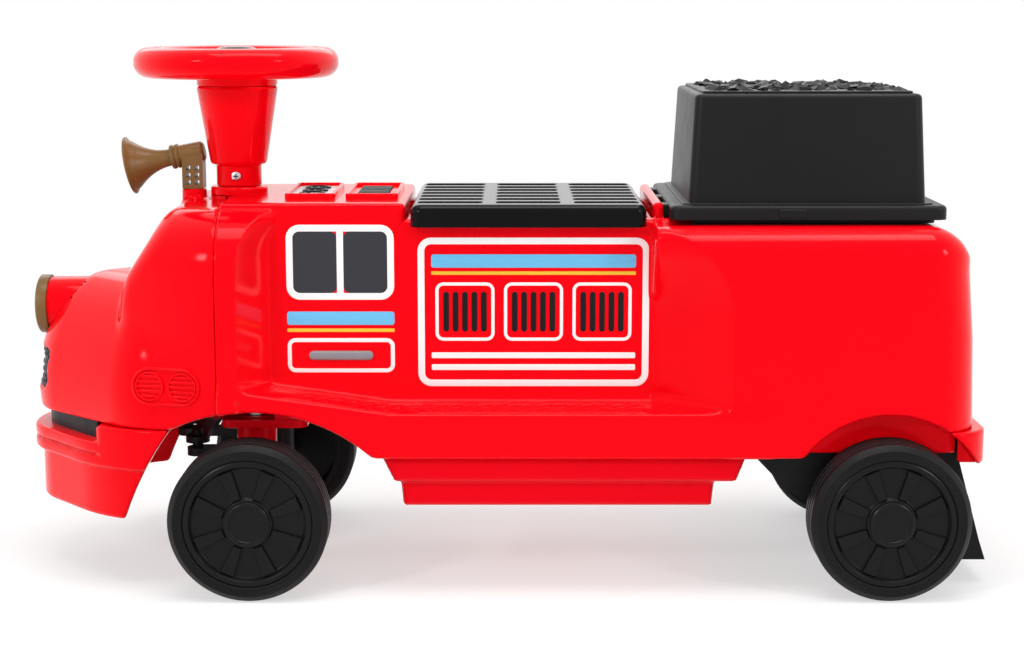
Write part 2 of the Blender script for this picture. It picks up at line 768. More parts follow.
def body_outside(x, y, z):
    """Cab, seat box, running boards and rear body, before anything is cut from them."""
    a = np.abs(y)
    half_cab = sizes().cab_half / MM
    rear_z = sizes().rear_z / MM
    cab_lap, box_lap, seat_lap, lip_foot_z = 40, 30, 20, 200
    cab = round_box(x, y, z, (SEAT_HIGH[0] + 4, -half_cab, 0), (SEAM_X + cab_lap, half_cab, ROOF_Z), CAB_R)
    box = round_box(x, y, z, (CAB_BACK_X - box_lap, -half_cab, 0),
                    (SEAT_HIGH[0] + seat_lap, half_cab, BOX_TOP_Z), BOX_R)
    lip = round_box(x, y, z, (CAB_BACK_X - LIP_W, LIP_IN - half_cab, lip_foot_z),
                    (CAB_BACK_X, half_cab - LIP_IN, ROOF_Z), 3)
    boards = bend(bend(a - HALF_BODY, z - board_top(x), BOARD_EDGE_R), CAB_BACK_X - BOARD_TUCK - x, 7)
    corner = np.hypot(np.maximum(CAB_BACK_X + REAR_LEAD - x, 0), np.maximum(z - rear_z + REAR_R, 0))
    depth, rear_steep = inset_slope(REAR_R - corner, REAR_SLOPE, BOARD_STEP)
    tail_x = np.interp(z, TAIL_LEAN_Z, TAIL_LEAN_X)
    rear = bend(bend(a - HALF_BODY + depth, z - rear_z, REAR_TOP_R), tail_x - x, REAR_CORNER_R) / rear_steep
    rear = bend(rear, x - CAB_BACK_X, 4)
    recess = bend(x - RECESS_FRONT_X, z - RECESS_TOP_Z, RECESS_EDGE_R)
    inset, ring_steep = inset_slope(-recess, RECESS_SLOPE, HALF_NOSE - half_cab + 8)
    ring = bend(a - HALF_NOSE + inset, z - COWL_Z, RING_R) / ring_steep
    ring = np.maximum(ring, RECESS_FRONT_X - RING_LAP - x)
    form = np.minimum(cab, box)
    form = join(form, ring, 2)
    form = join(form, rear, 5)
    form = join(form, boards, 9)
    return np.minimum(form, lip)


def body_field(x, y, z):
    """The body as a shell, open below."""
    outside = body_outside(x, y, z)
    behind = rear_well(x, y, z)
    ahead = np.maximum(front_ring(x, z), WELL_Y - np.abs(y))
    hollow = np.maximum(outside + SHELL, WELL_WALL - behind)
    form = cut(outside, hollow, WALL_EDGE)
    form = cut(form, behind, ARCH_EDGE)
    form = cut(form, ahead, ARCH_EDGE)
    form = meet(form, SKIRT_Z - z, SKIRT_EDGE)
    form = meet(form, x - SEAM_X, SEAM_EDGE)
    tail_gap = np.maximum(x - TAIL_HIGH[0], -TAIL_BAR_GAP - TAIL_BAR_W - tail_plan(x, y))
    form = cut(form, np.maximum(tail_gap, z - TAIL_HIGH[2]), HOLE_EDGE)
    column = np.hypot(x - COLUMN[0], y)
    boss = np.maximum(np.maximum(column - COLUMN_BOSS_R, z - ROOF_Z), BOX_TOP_Z - z)
    form = np.minimum(form, boss)
    form = cut(form, np.maximum(column - COLUMN_HOLE_R, COLUMN_HOLE_Z - z), HOLE_EDGE)
    pocket = round_box(x, y, z, (BIN_LOW[0] - 1, -POCKET_HALF, POCKET_Z), (POCKET_FRONT_X, POCKET_HALF, 400), 3)
    return cut(form, pocket, HOLE_EDGE)


class TRAIN_OT_body(bpy.types.Operator):
    """Body shell with its recessed cab sides and running boards."""

    bl_idname = "train.body"
    bl_label = "Body shell"

    def execute(self, context):
        add_mould("body_moulding", body_field, "body_shell", "red", sizes().shell_cell / MM)
        return {"FINISHED"}


# The nose's form

NOSE_FINER = 0.85
SHOULDER_R = 45.0
BONNET_Z = 228.0
BONNET_H = 87.0
BONNET_SPREAD = 48.0
BONNET_BOW = 52.0
FLANK_X = 261.7
FLANK_SLOPE = 0.196
SCREEN_TOP = (252.0, COWL_Z - 10)
SCREEN_RUN = (29.0, -45.0)
COWL_LENGTH = 78.0
COWL_TAPER = 34.0
COWL_FRONT_X = 284.0
COWL_FLAT = 62.0
COWL_BOW = 10.0
COWL_EDGE_R = 9.0
HORN_X = 238.0
HORN_FOOT_R = 9.5
LAMP_Z = float((LAMP_LOW[2] + LAMP_HIGH[2]) / 2)
LAMP_R = float((LAMP_HIGH[2] - LAMP_LOW[2]) / 2)
LAMP_HOLE_X = 300.0
LAMP_ROOM = 0.4
BEZEL_ROOM = 1.9
GRILLE_Z = 155.0
GRILLE_HALF_W = 35.0
GRILLE_HALF_H = 15.0


def bonnet_outside(x, y, z):
    """Bonnet: tapering shoulders that run into a round, bowed front."""
    r = sizes().bonnet_r / MM
    tip_x = NOSE_HIGH[0] - r
    root_x = tip_x - BONNET_BOW
    t = np.clip((x - SEAM_X) / (FLANK_X - SEAM_X), 0, 1)
    half = HALF_NOSE - FLANK_SLOPE * (FLANK_X - SEAM_X) * t
    a = np.abs(y)
    wide = SHOULDER_R + (r - SHOULDER_R) * t
    tall = SHOULDER_R + (BONNET_H - SHOULDER_R) * t
    edge = np.hypot(np.maximum(a - half + wide, 0), np.maximum(z - BONNET_Z + tall, 0) * wide / tall) - wide
    section = np.maximum(np.maximum(edge, a - half), x - FLANK_X)
    length = math.hypot(BONNET_BOW, BONNET_SPREAD)
    outside = (BONNET_SPREAD * (x - tip_x) + BONNET_BOW * a) / length
    along = np.clip((BONNET_BOW * (tip_x - x) + BONNET_SPREAD * a) / length ** 2, 0, 1)
    spine = np.hypot(x - tip_x + BONNET_BOW * along, a - BONNET_SPREAD * along)
    plan = np.where(outside > 0, spine, np.maximum(root_x - x, 0))
    ball = np.hypot(plan, (z - BONNET_Z + BONNET_H) * r / BONNET_H) - r
    return np.minimum(section, ball)


def cowl_outside(x, y, z):
    """Scuttle in front of the driver, narrowing to a sloping front."""
    t = np.clip((x - SEAM_X) / COWL_LENGTH, 0, 1)
    half = HALF_NOSE - COWL_TAPER * t ** 1.4
    section = bend(np.abs(y) - half, z - COWL_Z, RING_R)
    size = math.hypot(*SCREEN_RUN)
    slope = (-SCREEN_RUN[1] * (x - SCREEN_TOP[0]) + SCREEN_RUN[0] * (z - SCREEN_TOP[1])) / size
    bow = COWL_BOW * np.maximum(np.abs(y) / COWL_FLAT - 1, 0) ** 2
    form = meet(section, slope + bow, COWL_EDGE_R)
    return meet(form, x - COWL_FRONT_X + bow, COWL_EDGE_R)


def nose_outside(x, y, z):
    """Bonnet and scuttle together, with the foot of the horn."""
    fillet = 0.5 + 4 * np.clip((x - SEAM_X) / 50, 0, 1)
    form = join(bonnet_outside(x, y, z), cowl_outside(x, y, z), fillet)
    foot = bend(np.hypot(x - HORN_X, y) - HORN_FOOT_R, z - NOSE_HIGH[2], 1.5)
    foot = np.maximum(foot, COWL_Z - 12 - z)
    return join(form, foot, 4)


def nose_field(x, y, z):
    """The nose as a shell, open below and behind."""
    outside = nose_outside(x, y, z)
    form = cut(outside, outside + SHELL, WALL_EDGE)
    form = meet(form, SEAM_X - x, SEAM_EDGE)
    form = meet(form, NOSE_LOW[2] - z, SKIRT_EDGE)
    form = cut(form, front_ring(x, z), ARCH_EDGE)
    column_room = np.hypot(x - COLUMN[0], y) - COLUMN_BOSS_R - 0.5
    form = cut(form, np.maximum(column_room, COLUMN_HOLE_Z - z), HOLE_EDGE)
    lamp = np.hypot(y, z - LAMP_Z) - LAMP_R
    form = cut(form, np.maximum(lamp - LAMP_ROOM, LAMP_HOLE_X - x), HOLE_EDGE)
    form = cut(form, np.maximum(lamp - BEZEL_ROOM, LAMP_HIGH[0] - 0.5 - x), HOLE_EDGE)
    grille = round_rect(y, z, GRILLE_HALF_W, GRILLE_Z - GRILLE_HALF_H, GRILLE_Z + GRILLE_HALF_H, 6)
    return cut(form, np.maximum(grille, NOSE_HIGH[0] - 40 - x), 2.5)


class TRAIN_OT_nose(bpy.types.Operator):
    """Bonnet and scuttle."""

    bl_idname = "train.nose"
    bl_label = "Nose"

    def execute(self, context):
        cell = sizes().shell_cell / MM * NOSE_FINER
        add_mould("nose_moulding", nose_field, "nose_shell", "red", cell)
        return {"FINISHED"}


BUMPER_FINER = 0.75


def bumper_plan(x, y):
    """Plan of the bumper: a wide round flank drawn out to a rounder tip."""
    flank_r, tip_r, reach = BUMPER_HIGH[1], 60.0, 69.0
    a, u = np.abs(y), x - BUMPER_HIGH[0] + tip_r + reach
    lean = (flank_r - tip_r) / reach
    rise = math.sqrt(1 - lean ** 2)
    k = rise * u - lean * a
    side = rise * a + lean * u - flank_r
    tip = np.hypot(a, u - reach) - tip_r
    return np.where(k < 0, np.hypot(a, u) - flank_r, np.where(k > rise * reach, tip, side))


def bumper_field(x, y, z):
    """Bumper: two ribs that run out into a plain side, over a plain face; open behind."""
    low = BUMPER_LOW[2]
    deck, rib_low, side_top = low + 58, low + 39, BUMPER_HIGH[2]
    ribs_x, ribs_run, side_end_x = 286, 16, 302.5
    back_x, back_half = 277, 73
    plan = bumper_plan(x, y)
    fade = np.clip((x - ribs_x) / ribs_run, 0, 1)
    groove = 2.4 * np.exp(-((z - deck + 9.6) / 1.3) ** 2) * fade ** 2 * (3 - 2 * fade)
    face = bend(plan + 5.5, np.abs(z - (deck + low) / 2) - (deck - low) / 2, 3)
    ribs = bend(plan + groove, np.abs(z - (deck + rib_low) / 2) - (deck - rib_low) / 2, 3)
    side = bend(bend(plan, z - side_top, 2), x - side_end_x, 5)
    side = bend(side, rib_low - z, 3)
    form = join(face, np.minimum(ribs, side), 1.5)
    inner = np.minimum(z - deck + 6, np.maximum(z - side_top + 5, x - side_end_x + 5.5))
    form = cut(form, np.maximum(plan + 11.5, inner), 2)
    form = cut(form, np.maximum(np.maximum(np.abs(y) - back_half, x - back_x), deck - 8 - z), 2)
    form = cut(form, bumper_ring(x, z), 2.5)
    dimple_x, dimple_y, dimple_r = 306, 86.8, 3.2
    dimple = np.sqrt((x - dimple_x) ** 2 + (np.abs(y) - dimple_y) ** 2 + (z - low - 10) ** 2) - dimple_r
    form = cut(form, dimple, 0.8)
    return meet(form, BUMPER_LOW[0] - x, 2)


class TRAIN_OT_bumper(bpy.types.Operator):
    """Front bumper with its two ribs."""

    bl_idname = "train.bumper"
    bl_label = "Front bumper"

    def execute(self, context):
        cell = sizes().shell_cell / MM * BUMPER_FINER
        add_mould("bumper_moulding", bumper_field, "front_bumper", "red", cell)
        return {"FINISHED"}


def pan_field(x, y, z):
    """Chassis pan in two tiers, hollow above."""
    upper_half, lower_half, edge_r, tier_lap = 110, 100, 5, 9
    step_z = (PAN_LOW[2] + SKIRT_Z) / 2
    front, back = PAN_HIGH[0], PAN_LOW[0]
    a = np.abs(y)
    upper = convex(x, z, [(back, SKIRT_Z), (back + 8, step_z), (front - 10, step_z), (front, SKIRT_Z)])
    upper = bend(upper, a - upper_half, edge_r)
    lower = convex(x, z, [(back + 22, step_z + tier_lap), (back + 25, PAN_LOW[2]), (front - 16, PAN_LOW[2]),
                          (front - 13, step_z + tier_lap)])
    lower = bend(lower, a - lower_half, edge_r)
    ledge = np.maximum(np.maximum(a - PAN_HIGH[1], np.abs(z - SKIRT_Z - 2) - 2),
                       np.maximum(x - front, back - x))
    form = join(upper, lower, 5)
    form = np.minimum(form, ledge)
    hollow_x, hollow_half_l, hollow_half_w, hollow_z, hollow_half_h = -48, 118, 92, 100, 26
    hollow = round_rect(x - hollow_x, y, hollow_half_l, -hollow_half_w, hollow_half_w, 6)
    return cut(form, np.maximum(hollow, np.abs(z - hollow_z) - hollow_half_h), 2)


class TRAIN_OT_pan(bpy.types.Operator):
    """Two-tier pan between the wheels."""

    bl_idname = "train.pan"
    bl_label = "Chassis pan"

    def execute(self, context):
        add_mould("pan_moulding", pan_field, "chassis_pan", "chassis", sizes().shell_cell / MM)
        return {"FINISHED"}


# The seat's form

HINGE = joint_mm("seat_hinge")
HINGE_Y = 52.0
SEAT_IN = 84.0
SEAT_COLUMNS = 3
SEAT_PITCHES = 7.6
SEAT_LAST_ROW = 3
SEAT_BAR_W = 11.0
SEAT_SLOT_HALF = 7.0


def seat_field(x, y, z):
    """Seat lid: rounded edges, three columns of slots, hollow below."""
    form = round_rect(y, x, SEAT_HIGH[1], SEAT_LOW[0], SEAT_HIGH[0], 9)
    form = bend(form, z - SEAT_HIGH[2], 6.5)
    form = np.maximum(form, SEAT_LOW[2] - z)
    inside = round_box(x, y, z, (SEAT_LOW[0] - 40, -SEAT_IN, 0),
                       (SEAT_HIGH[0] - 4, SEAT_IN, SEAT_HIGH[2] - 5), 2)
    form = cut(form, inside, 1)
    front = np.maximum(np.maximum(np.abs(y) - SEAT_IN, SEAT_HIGH[0] - 6 - x), z - ROOF_Z + 8.7)
    form = cut(form, front, 1)
    column = (SEAT_HIGH[0] - SEAT_LOW[0]) / SEAT_COLUMNS
    pitch = 2 * SEAT_HIGH[1] / SEAT_PITCHES
    u = (x - SEAT_LOW[0]) % column - column / 2
    row = np.clip(np.round(y / pitch), -SEAT_LAST_ROW, SEAT_LAST_ROW)
    slot = round_rect(u, y - row * pitch, (column - SEAT_BAR_W) / 2, -SEAT_SLOT_HALF, SEAT_SLOT_HALF, 3)
    form = cut(form, np.maximum(slot, SEAT_HIGH[2] - 2.1 - z), 0.8)
    ear = np.maximum(np.hypot(x - HINGE[0], z - HINGE[2]) - 5.1, np.abs(np.abs(y) - HINGE_Y) - 4.4)
    return cut(form, ear, 0.3)


class TRAIN_OT_seat(bpy.types.Operator):
    """Lifting seat lid with its hinge ears."""

    bl_idname = "train.seat"
    bl_label = "Seat lid"

    def execute(self, context):
        add_mould("seat_moulding", seat_field, "seat_lid", "seat", sizes().fine_cell / MM, body="seat")
        bore, outer, half, apart = 2.1, 4.1, 4, 8.3
        ear = turn([(bore, -half), (outer, -half), (outer, half), (bore, half), (bore, -half)], 32)
        lie = turned(math.pi / 2, "X")
        ears = [placed(ear, at(HINGE[0], s * HINGE_Y + t * apart, HINGE[2]) @ lie)
                for s in SIDES for t in SIDES]
        add_shape("seat_ears", together(*ears), "seat", body="seat")
        return {"FINISHED"}


# The tender's load

LUMP_ROWS = 13
LUMPS_ACROSS = 12
LUMP_POINTS = 11
LUMP_SIZES = (5.6, 8.6)
LUMP_STRAY = 0.3
LUMP_FLAT = 0.72


class TRAIN_OT_tender(bpy.types.Operator):
    """Tender base, its box and the load on top."""

    bl_idname = "train.tender"
    bl_label = "Tender"

    def execute(self, context):
        tab_reach = 5
        middle = (BASE_LOW[0] + BASE_HIGH[0] - tab_reach) / 2
        half_l = (BASE_HIGH[0] - tab_reach - BASE_LOW[0]) / 2
        half_w = BASE_HIGH[1]
        top = BASE_HIGH[2]
        plate = placed(slab(half_l, half_w, 8, top - 10.5, top, 3.2), at(middle, 0, 0))
        foot = placed(slab(half_l - 10, half_w - 14, 6, BASE_LOW[2] + 0.3, top - 9, 1), at(middle - 4, 0, 0))
        clip = placed(slab(10, 1.6, 1.2, top - 9, top - 2.5, 1), at(middle + 12, half_w - 0.6, 0))
        far_clip = placed(clip, Matrix.Scale(-1, 4, (0, 1, 0)))
        step = placed(slab(half_l - 9, half_w - 6.5, 7, top - 1, top + 1.2, 1), at(middle, 0, 0))
        tab_pitch = 60
        tab = placed(slab(6.5, 9, 2, top - 10.2, top - 1.5, 1.4), at(BASE_HIGH[0] - 6.5, -tab_pitch, 0))
        tabs = repeated("tabs", tab, "satin", 3, step=(0, tab_pitch, 0))
        base = shape_mesh("base", together(plate, foot, clip, far_clip, step))
        add_piece("tender_tray", merged("tray", base, tabs), "satin", "tender_base")
        box_mid = (BOX_LOW[0] + BOX_HIGH[0]) / 2
        box_l = (BOX_HIGH[0] - BOX_LOW[0]) / 2
        walls = slab(box_l, BOX_HIGH[1], 7, BOX_LOW[2], BOX_HIGH[2], 3.5, draft=4)
        add_shape("tender_walls", walls, "satin", "tender_box", place=at(box_mid, 0, 0))
        add_piece("tender_load", self.load(box_mid), "satin", "coal_load")
        return {"FINISHED"}

    def load(self, box_mid):
        """Angular lumps, each the hull of a few points, packed on a bed."""
        rng = np.random.default_rng(7)
        half_l = (COAL_HIGH[0] - COAL_LOW[0]) / 2
        half_w = COAL_HIGH[1]
        z = COAL_LOW[2] + 0.4
        high = COAL_HIGH[2] - z
        work = bmesh.new()
        for i in range(LUMP_ROWS):
            for j in range(LUMPS_ACROSS):
                size = rng.uniform(*LUMP_SIZES)
                reach_x, reach_y = half_l - size, half_w - size
                x = box_mid + reach_x * (2 * (i + 0.5 + rng.uniform(-LUMP_STRAY, LUMP_STRAY)) / LUMP_ROWS - 1)
                y = reach_y * (2 * (j + 0.5 + rng.uniform(-LUMP_STRAY, LUMP_STRAY)) / LUMPS_ACROSS - 1)
                points = rng.normal(size=(LUMP_POINTS, 3))
                points /= np.linalg.norm(points, axis=1)[:, None]
                points *= size * np.array((1, 1, LUMP_FLAT))
                points[:, 2] *= min(1.0, high / points[:, 2].max())
                lump = [work.verts.new(Vector(p + (x, y, z)) * MM) for p in points]
                hull = bmesh.ops.convex_hull(work, input=lump)
                loose = [g for g in hull["geom_interior"] if isinstance(g, bmesh.types.BMVert)]
                bmesh.ops.delete(work, geom=loose, context="VERTS")
        lumps = bpy.data.meshes.new("lumps")
        work.to_mesh(lumps)
        work.free()
        bed = placed(slab(half_l, half_w, 5, COAL_LOW[2], COAL_LOW[2] + 2, 1), at(box_mid, 0, 0))
        load = merged("load", lumps, shape_mesh("bed", bed))
        load.set_sharp_from_angle(angle=math.radians(18))
        return load


# Wheels are drawn about Z with the outer face up, then laid on their side

WHEELS = {"front_left": (FRONT_AXLE, 1), "front_right": (FRONT_AXLE, -1),
          "rear_left": (REAR_AXLE, 1), "rear_right": (REAR_AXLE, -1)}
WHEEL_IN_Y = float(TYRE_LOW[1])
WHEEL_OUT_Y = float(TYRE_HIGH[1])
SLEEVE_IN_Y = 95.3


class TRAIN_OT_wheels(bpy.types.Operator):
    """Four wheels: ribbed tread, dished rim with spokes, and a hub cap."""

    bl_idname = "train.wheels"
    bl_label = "Wheels"

    def execute(self, context):
        for name, (axle, side) in WHEELS.items():
            body = "wheel_" + name
            lay = at(axle[0], 0, axle[2]) @ turned(-math.pi / 2 * side, "X")
            add_shape("tread_" + name, self.tread(), "tread", "tyre_" + name, place=lay, sharp=60, body=body)
            dish = shape_mesh("dish", placed(self.dish(), lay), 50)
            rim = merged("rim_" + name, dish, self.spokes(name, lay))
            add_piece("wheel_rim_" + name, rim, "rim", "rim_" + name, body=body)
            add_shape("wheel_cap_" + name, self.cap(), "rim", "hub_cap_" + name, place=lay, sharp=50, body=body,
                      slot="black_gloss")
        return {"FINISHED"}

    def tread(self):
        """Tyre: three grooves round the tread and faint steps on the side wall."""
        r, out, back = WHEEL_R, WHEEL_OUT_Y, WHEEL_IN_Y
        inner = 0.8 * r
        line = [(inner, back + 1, 0), (inner + 2, back, 1), (r - 4.5, back, 3), (r, back + 4.5, 3)]
        for k in (-1, 0, 1):
            z = (out + back) / 2 + 7 * k
            line += [(r, z - 1.6, 0.7), (r - 1.5, z - 0.9, 0.5), (r - 1.5, z + 0.9, 0.5), (r, z + 1.6, 0.7)]
        line += [(r, out - 4.5, 3), (r - 4.5, out, 3)]
        for step in (0.90, 0.865):
            line += [(step * r + 0.5, out, 0.2), (step * r, out - 0.35, 0.2), (step * r - 0.5, out, 0.2)]
        line += [(inner + 1, out, 0.8), (inner, out - 1.4, 0), (inner, back + 1, 0)]
        return lathe(line, 128, 4)

    def dish(self):
        """Rim: a lip, a step, a flat web and the back of the hub."""
        r, out, back = WHEEL_R, WHEEL_OUT_Y, WHEEL_IN_Y
        edge = 0.805 * r
        web = out - 4.6
        line = [(6, web - 5, 0), (edge - 5, web - 5, 2), (edge - 5, back + 1, 1), (edge, back + 1, 0.8),
                (edge, out - 1.2, 0.8), (edge - 1.6, out - 0.3, 0.8), (edge - 4.2, out - 0.3, 1.2),
                (edge - 5.2, out - 2.2, 1), (edge - 6.6, web, 1.5), (0.33 * r, web, 1.5),
                (0.30 * r, out - 2.2, 1), (6, out - 2.2, 0), (6, web - 5, 0)]
        bore, hub = 5.2, 11
        sleeve = [(bore, SLEEVE_IN_Y), (hub, SLEEVE_IN_Y), (hub, web - 4), (bore, web - 4), (bore, SLEEVE_IN_Y)]
        return together(lathe(line, 96, 4), turn(sleeve, 48))

    def spokes(self, name, lay):
        """Raised wedges between hub and rim."""
        count = sizes().spokes
        inner, outer = 0.31 * WHEEL_R, 0.8 * WHEEL_R - 5.6
        web, top = WHEEL_OUT_Y - 5, WHEEL_OUT_Y - 1.9
        wedge = extrude([(inner, -3.2), (outer, -5.4), (outer, 5.4), (inner, 3.2)], web, top, 1.1)
        half = math.pi / count
        first = placed(wedge, turned(half, "Z"))
        return moved(repeated("spokes_" + name, first, "rim", count, turning=(0, 0, 2 * half)), lay)

    def cap(self):
        """Hub cap with a raised ring."""
        r, out = 0.28 * WHEEL_R, WHEEL_OUT_Y
        line = [(r, out - 4, 0), (r, out - 0.4, 0.8), (r - 1.4, out + 0.5, 0.6), (r - 3, out + 0.5, 0.4),
                (r - 3.6, out - 0.4, 0.4), (r - 5, out - 0.2, 1), (0.4, out + 0.1, 0)]
        return lathe(line, 64, 4)


class TRAIN_OT_steering(bpy.types.Operator):
    """Steering wheel with its pad, tapered column cover, screw and horn button."""

    bl_idname = "train.steering"
    bl_label = "Steering wheel"

    def execute(self, context):
        place = at(COLUMN[0], 0, 0)
        grip_r = 11.5
        ring_r = (GRIP_HIGH[1] - GRIP_LOW[1]) / 2 - grip_r
        grip_z = GRIP_HIGH[2] - grip_r
        top = grip_z + 7
        wheel = self.wheel(ring_r, grip_r, grip_z, top)
        add_shape("steering_ring", wheel, "red", "steering_wheel", place=place, body="steering")
        cone_top, cone_low = CONE_HIGH[2], CONE_LOW[2]
        neck_z, bore = cone_low + 17, 6.2
        cover = [(bore, cone_low, 0), (16.8, cone_low, 0.6), (17.4, cone_low + 1, 0.6), (17.4, neck_z - 1, 2),
                 (21, neck_z, 1.2), (22, neck_z + 2, 1.2), (31, cone_top - 2, 1.5), (30, cone_top, 0.8),
                 (bore, cone_top, 0)]
        add_shape("steering_cover", lathe(cover), "red", "steering_cone", place=place, body="steering")
        self.screw(at(COLUMN[0], 17.3, cone_low + 8) @ turned(-math.pi / 2, "X"))
        press = node_mm("horn_button")[1][2]
        dome = [(15.9, top - 4.5, 0), (15.9, press - 2.2, 1.6), (12.5, press - 0.5, 3), (6, press, 6),
                (0.3, press, 0)]
        flange = [(16, top - 7.3), (19, top - 7.3), (19, top - 5.4), (15.9, top - 5.4)]
        button = together(lathe(dome, 64), turn(flange + flange[:1], 48))
        add_shape("horn_dome", button, "seat", "horn_button", place=place, body="horn_push")
        return {"FINISHED"}

    def wheel(self, ring_r, grip_r, grip_z, top):
        """Grip with a faint mould seam, pad and three bars."""
        rim = []
        steps = 40
        for s in range(steps + 1):
            a = 2 * math.pi * s / steps
            seam = 0.35 if s % (steps // 2) == 0 else 0
            rim.append((ring_r + (grip_r - seam) * math.cos(a), grip_z + (grip_r - seam) * math.sin(a)))
        rim[-1] = rim[0]
        low = CONE_HIGH[2] + 0.2
        pad = [(0, low, 0), (30.8, low, 1), (31, top - 1, 3), (25, top, 2), (18.4, top, 1), (17, top - 3, 0.5),
               (16.4, top - 7, 0), (0, top - 7, 0)]
        parts = [turn(rim, 112), lathe(pad)]
        bar = placed(slab(27, 13, 4, grip_z - 8, grip_z + 4, 3.5), at(ring_r - 21, 0, 0))
        parts += [placed(bar, turned(math.pi / 2 * k, "Z")) for k in (1, 2, 3)]
        return together(*parts)

    def screw(self, face):
        """Cross-head screw in a ring, on the column's neck."""
        socket = turn([(4.4, -1), (4.4, 0.35), (3.8, 0.55), (3.8, -1), (4.4, -1)], 28)
        head = lathe([(3.6, -0.4, 0), (3.6, 0.5, 0.3), (2.2, 0.9, 0.5), (0.3, 0.9, 0)], 28, 3)
        long, short = 1.9, 0.42
        cross = together(slab(long, short, 0.2, 0.6, 1.0, 0.1), slab(short, long, 0.2, 0.6, 1.0, 0.1))
        add_shape("column_screw_ring", socket, "red", place=face, body="steering")
        add_shape("column_screw_head", head, "steel", "column_screw", place=face, body="steering")
        add_shape("column_screw_cross", cross, "rim", place=face, body="steering", slot="steel")


class TRAIN_OT_horn(bpy.types.Operator):
    """Flared horn with a beaded barrel."""

    bl_idname = "train.horn"
    bl_label = "Horn"

    def execute(self, context):
        place = at(HORN_X, 0, NOSE_HIGH[2] + 27) @ turned(math.radians(101), "Y")
        throat, mouth, steps = 18.0, 51.0, 14
        outer = [(6.5 + 16 * (k / steps) ** 2.2, throat - 1 + (mouth - throat) * k / steps)
                 for k in range(steps)]
        lip = arc_corners([(19.5, mouth - 3.4, 0), (22.3, mouth - 1.6, 0.6), (22.3, mouth - 0.2, 0.6),
                           (20.2, mouth - 0.4, 0.6), (18.4, mouth - 3.2, 0)], 4)
        inner = [(r - 1.8, z) for r, z in reversed(outer)]
        bell = turn(outer[:-1] + lip + inner[1:] + outer[:1], 72)
        add_shape("horn_flare", bell, "bronze", "horn_bell", place=place)
        line = [(0.3, -8.8, 0), (6.4, -8.8, 2), (8, -6.6, 1.5), (8, 10.3, 0.3)]
        for z in (10.6, 14.6):
            line += [(9.4, z + 0.4, 0.8), (9.4, z + 2.6, 0.8), (8, z + 3.1, 0.3)]
        line += [(7, throat, 0.5), (0.3, throat, 0)]
        add_shape("horn_tube", lathe(line, 56, 4), "bronze", "horn_barrel", place=place)
        return {"FINISHED"}


class TRAIN_OT_headlamp(bpy.types.Operator):
    """Headlamp tube with a bronze ring, lens and reflector."""

    bl_idname = "train.headlamp"
    bl_label = "Headlamp"

    def execute(self, context):
        place = at(0, 0, LAMP_Z) @ turned(math.pi / 2, "Y")
        back, front, tip = LAMP_LOW[0], LAMP_HIGH[0], BEZEL_HIGH[0]
        r = LAMP_R
        bore = r - 2.5
        tube = [(bore, back, 0), (r, back, 0.4), (r, front - 2.6, 0.4), (r - 0.7, front - 1.9, 0.3),
                (r - 0.7, front, 0), (bore, front, 0), (bore, back, 0)]
        add_shape("lamp_tube", lathe(tube, steps=3), "red", "headlamp_tube", place=place)
        ring = [(bore, front, 0), (r + 1.3, front, 0.6), (r + 1.3, tip - 1.4, 1.2), (r - 1, tip, 1.2),
                (r - 3.4, tip, 0.8), (r - 4.4, tip - 2, 0.5), (bore, tip - 3, 0), (bore, front, 0)]
        add_shape("lamp_ring", lathe(ring, steps=4), "bronze", "headlamp_bezel", place=place)
        lens = [(0.3, tip - 4.8, 0), (r - 2.7, tip - 4.8, 0.2), (r - 2.7, tip - 3.6, 0.3),
                (r - 9, tip - 2.2, 6), (0.3, tip - 1.8, 0)]
        add_shape("lamp_lens", lathe(lens), "lens", "headlamp_lens", place=place)
        edge, steps = r - 2.8, 8
        dish = [(edge * (k / steps) ** 0.6, tip - 16 + 11 * k / steps) for k in range(1, steps + 1)]
        shell = [(0.3, tip - 17)] + dish + [(edge - 0.1, tip - 6), (0.3, tip - 18.4)]
        add_shape("lamp_mirror", turn(shell, 64), "mirror", "headlamp_reflector", place=place)
        return {"FINISHED"}


VENT_X = SEAM_X + 38
VENT_Z = 156.0


